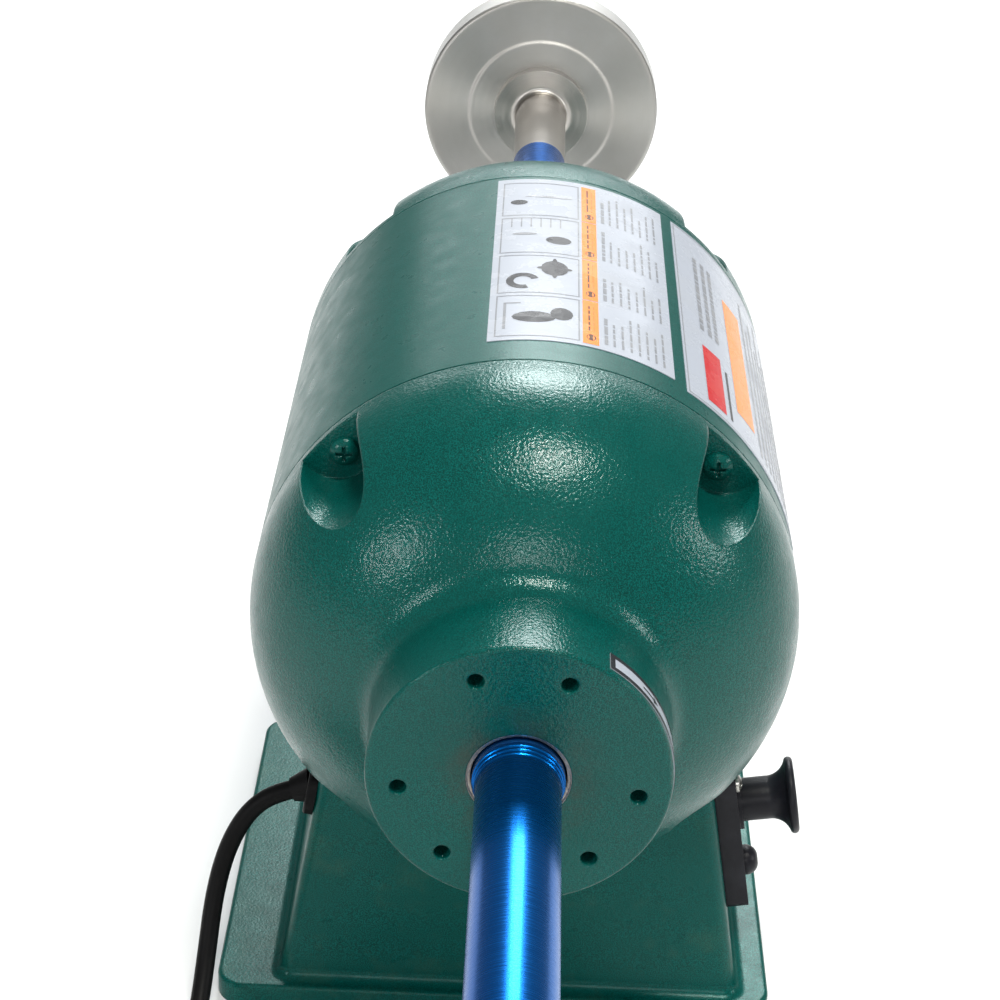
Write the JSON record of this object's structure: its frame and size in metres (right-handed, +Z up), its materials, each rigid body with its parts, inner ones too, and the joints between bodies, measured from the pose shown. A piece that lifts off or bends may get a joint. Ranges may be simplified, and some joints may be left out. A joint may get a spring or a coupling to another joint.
{
  "type": "long-arbor bench grinder",
  "caption": "Double-ended electric bench grinder with a long arbor, round motor body, pedestal base, guard-mounting bosses, grinding wheel, push-pull switch and mains cord.",
  "frame": {"origin": "on the bench surface, in the middle of the four bench-bolt holes, straight under the middle of the motor", "axes": "+Z up, +X along the arbor towards the end that carries the wheel, -Y towards the operator, who reaches the switch"},
  "size_m": [0.924, 0.3457, 0.2622],
  "materials": {
    "green_paint": "glossy fine orange-peel enamel",
    "wheel_metal": "turned, satin",
    "bright_steel": "turned",
    "blue_metal": "polished and blue anodised",
    "bearing_steel": "ground",
    "spring_steel": "rolled",
    "lamination_steel": "stacked sheet edges",
    "copper_winding": "varnished wire",
    "cast_aluminium": "as cast",
    "plated_steel": "zinc plated",
    "can_aluminium": "drawn",
    "dark_plastic": "fine grained",
    "ivory_plastic": "smooth",
    "black_rubber": "matt",
    "brass_contact": "bright",
    "label_film": "printed film",
    "cover_paint": "thin enamel"
  },
  "bodies": {
    "machine": {"motor_housing": "green_paint", "right_end_bell": "green_paint", "left_end_bell": "green_paint", "right_bell_screws": "green_paint", "left_bell_screws": "green_paint", "stator_core": "lamination_steel", "stator_windings": "copper_winding", "right_bearing_outer_race": "bearing_steel", "left_bearing_outer_race": "bearing_steel", "preload_washers": "spring_steel", "base_casting": "green_paint", "bottom_cover": "cover_paint", "bottom_cover_screws": "plated_steel", "motor_bolts": "plated_steel", "capacitor": "can_aluminium", "capacitor_clamp": "plated_steel", "terminal_block": "ivory_plastic", "deck_screws": "plated_steel", "switch_plate": "dark_plastic", "switch_screws": "plated_steel", "switch_body": "dark_plastic", "overload_breaker": "dark_plastic", "strain_relief": "black_rubber", "power_cord": "black_rubber", "cord_tail": "black_rubber", "cord_coil": "black_rubber", "cord_tie": "dark_plastic", "plug_body": "black_rubber", "plug_blades": "brass_contact", "instruction_label": "label_film", "rating_plate": "label_film", "rotation_label": "label_film"},
    "arbor": {"arbor_shaft": "bright_steel", "rotor_core": "lamination_steel", "rotor_end_rings": "cast_aluminium", "right_bearing_inner_race": "bearing_steel", "left_bearing_inner_race": "bearing_steel", "right_spacer_sleeve": "blue_metal", "left_spacer_sleeve": "blue_metal", "right_inner_flange": "bright_steel", "left_inner_flange": "bright_steel", "grinding_wheel": "wheel_metal", "right_outer_flange": "bright_steel", "left_outer_flange": "bright_steel", "right_arbor_nut": "bright_steel", "left_arbor_nut": "bright_steel"},
    "right_ball_set": {"right_bearing_balls": "bearing_steel"},
    "left_ball_set": {"left_bearing_balls": "bearing_steel"},
    "knob": {"switch_knob": "dark_plastic"},
    "reset": {"reset_button": "dark_plastic"}
  },
  "joints": [
    {"name": "arbor_spin", "type": "hinge", "parent": "machine", "child": "arbor", "pos_m": [0, 0, 0.172], "axis": [1, 0, 0], "continuous": true},
    {"name": "right_balls_spin", "type": "hinge", "parent": "machine", "child": "right_ball_set", "pos_m": [0.1475, 0, 0.172], "axis": [1, 0, 0], "continuous": true},
    {"name": "left_balls_spin", "type": "hinge", "parent": "machine", "child": "left_ball_set", "pos_m": [-0.1475, 0, 0.172], "axis": [1, 0, 0], "continuous": true},
    {"name": "switch_slide", "type": "slide", "parent": "machine", "child": "knob", "axis": [0, -0.9857, 0.1685], "range_m": [-0.006, 0]},
    {"name": "reset_slide", "type": "slide", "parent": "machine", "child": "reset", "axis": [0, -0.9857, 0.1685], "range_m": [-0.003, 0], "stiffness_N_per_m": 400}
  ],
  "couplings": [
    {"joint": "right_balls_spin", "follows": "arbor_spin", "ratio": 0.3934},
    {"joint": "left_balls_spin", "follows": "arbor_spin", "ratio": 0.3934}
  ]
}
